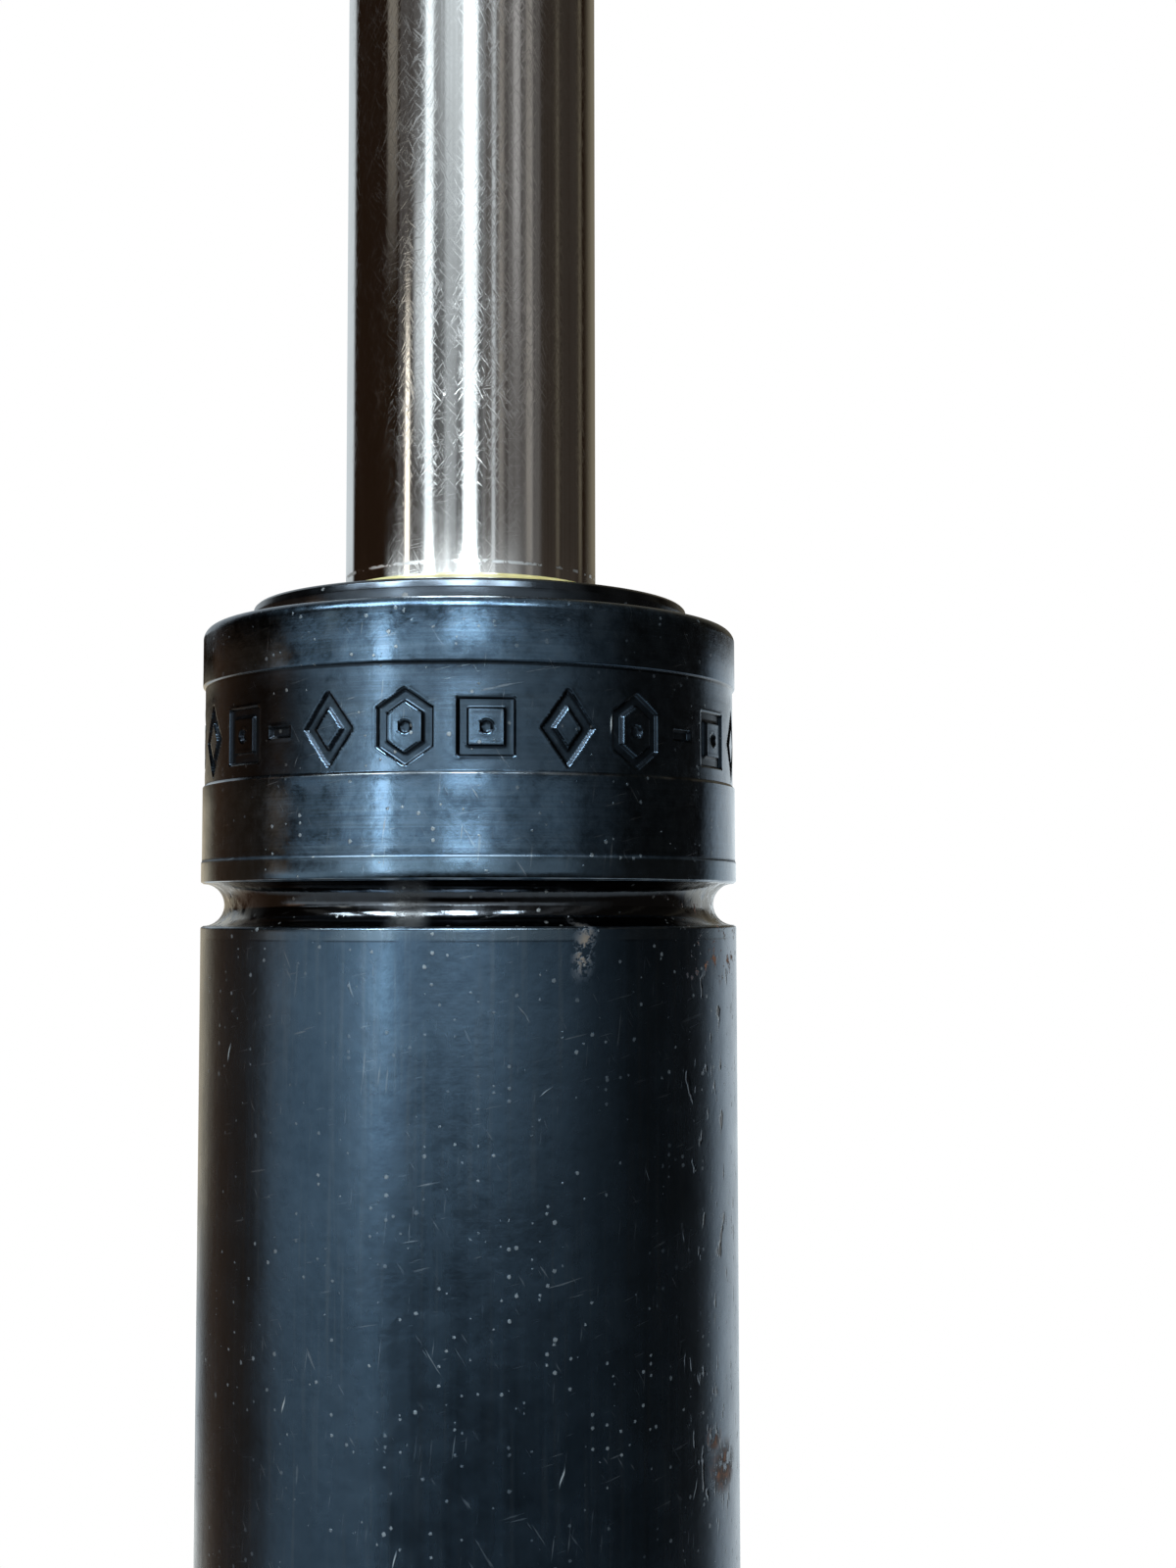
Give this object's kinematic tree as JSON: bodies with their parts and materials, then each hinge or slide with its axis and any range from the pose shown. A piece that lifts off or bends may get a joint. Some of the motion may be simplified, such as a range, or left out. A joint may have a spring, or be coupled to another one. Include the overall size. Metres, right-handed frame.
{
  "type": "self-contained nitrogen gas cylinder",
  "caption": "Slim self-contained gas cylinder: a chromed rod slides and turns in a black round body with clamp grooves, a tapped base and a tapped rod end.",
  "frame": {"origin": "centre of the flat base face", "axes": "+Z along the cylinder axis towards the rod end; the marking's middle group faces -Y"},
  "size_m": [0.038, 0.038, 0.465],
  "materials": {
    "black_oxide": "black oxide over fine turning marks, satin, lightly worn",
    "hard_chrome": "hard chrome, ground and polished",
    "cover_black": "gloss black",
    "wiper_amber": "translucent amber polyurethane",
    "seal_rubber": "black nitrile rubber",
    "seal_polyurethane": "blue polyurethane, slight gloss",
    "ptfe": "white filled PTFE",
    "bronze": "sintered bronze, turned",
    "alloy_steel": "turned alloy steel, oiled",
    "spring_steel": "drawn spring steel",
    "guide_phenolic": "brown fabric-filled phenolic",
    "zinc_steel": "zinc-plated steel",
    "brass": "turned brass",
    "washer_copper": "annealed copper"
  },
  "bodies": {
    "cylinder": {"cylinder_body": "black_oxide", "dust_cover": "cover_black", "rod_wiper": "wiper_amber", "lock_ring": "spring_steel", "guide_housing": "alloy_steel", "guide_o_ring": "seal_rubber", "guide_backup_ring": "ptfe", "rod_bushing": "bronze", "seal_backup_ring": "ptfe", "rod_seal": "seal_polyurethane", "seal_energiser": "seal_rubber", "seal_retainer": "alloy_steel", "valve_body": "brass", "valve_spring": "spring_steel", "port_plug": "zinc_steel", "port_plug_washer": "washer_copper"},
    "piston_guide": {"piston_guide_ring": "guide_phenolic"},
    "rod": {"piston_rod": "hard_chrome", "piston_collar": "alloy_steel", "retainer_half_rings": "spring_steel", "keeper_ring": "spring_steel"},
    "valve": {"valve_poppet": "brass", "poppet_seal": "seal_rubber"}
  },
  "joints": [
    {"name": "rod_stroke", "type": "slide", "parent": "cylinder", "child": "piston_guide", "axis": [0, 0, 1], "range_m": [-0.2, 0], "stiffness_N_per_m": 300, "springref_m": 0.3},
    {"name": "rod_spin", "type": "hinge", "parent": "piston_guide", "child": "rod", "pos_m": [0, 0, 0.2264], "axis": [0, 0, 1], "continuous": true},
    {"name": "valve_push", "type": "slide", "parent": "cylinder", "child": "valve", "axis": [0, 0, 1], "range_m": [0, 0.0009], "stiffness_N_per_m": 400, "springref_m": -0.0008, "deforming": ["valve_spring"]}
  ]
}
